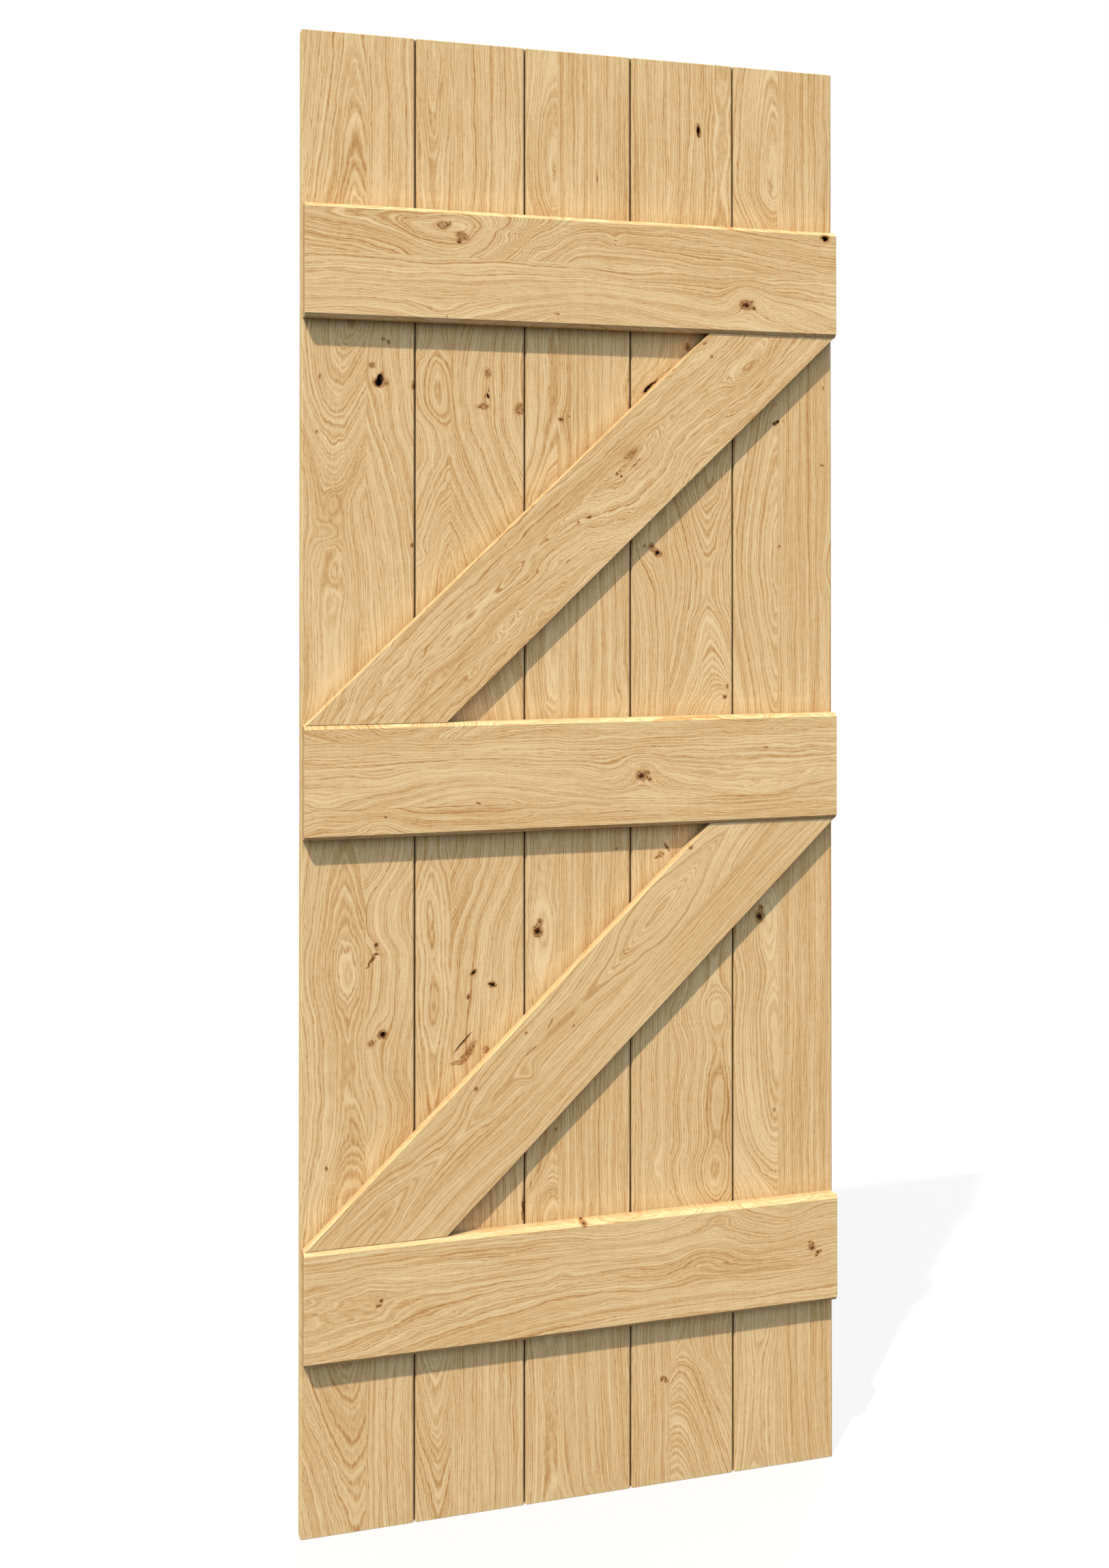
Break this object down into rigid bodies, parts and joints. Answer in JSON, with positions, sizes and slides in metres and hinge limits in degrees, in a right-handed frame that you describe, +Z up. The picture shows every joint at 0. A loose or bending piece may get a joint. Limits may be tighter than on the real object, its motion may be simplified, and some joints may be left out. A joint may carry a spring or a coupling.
{
  "type": "ledged and braced door leaf",
  "caption": "Plank door leaf in solid oak: upright tongue-and-groove boards held together by level ledges and slanting braces on one side, ready to hang on hinges.",
  "frame": {"origin": "on the bottom, under the middle of the leaf, in the plane where the boards meet the ledges", "axes": "+Z up along the boards, +X across the leaf from the hinge edge to the latch edge, +Y from the ledge side to the board side"},
  "size_m": [0.762, 0.04, 1.981],
  "materials": {
    "oak_boards": "planed and oiled knotty oak, matt",
    "oak_ledges": "planed and oiled knotty oak, matt",
    "oak_braces": "planed and oiled knotty oak, matt",
    "oak_pellets": "planed oak pellets, matt",
    "screw_steel": "bare steel wood screws"
  },
  "bodies": {
    "root": {"board_1": "oak_boards", "board_2": "oak_boards", "board_3": "oak_boards", "board_4": "oak_boards", "board_5": "oak_boards", "top_ledge": "oak_ledges", "middle_ledge": "oak_ledges", "bottom_ledge": "oak_ledges", "upper_brace": "oak_braces", "lower_brace": "oak_braces", "ledge_screws": "screw_steel", "brace_screws": "screw_steel", "ledge_pellets": "oak_pellets", "brace_pellets": "oak_pellets"}
  },
  "joints": []
}
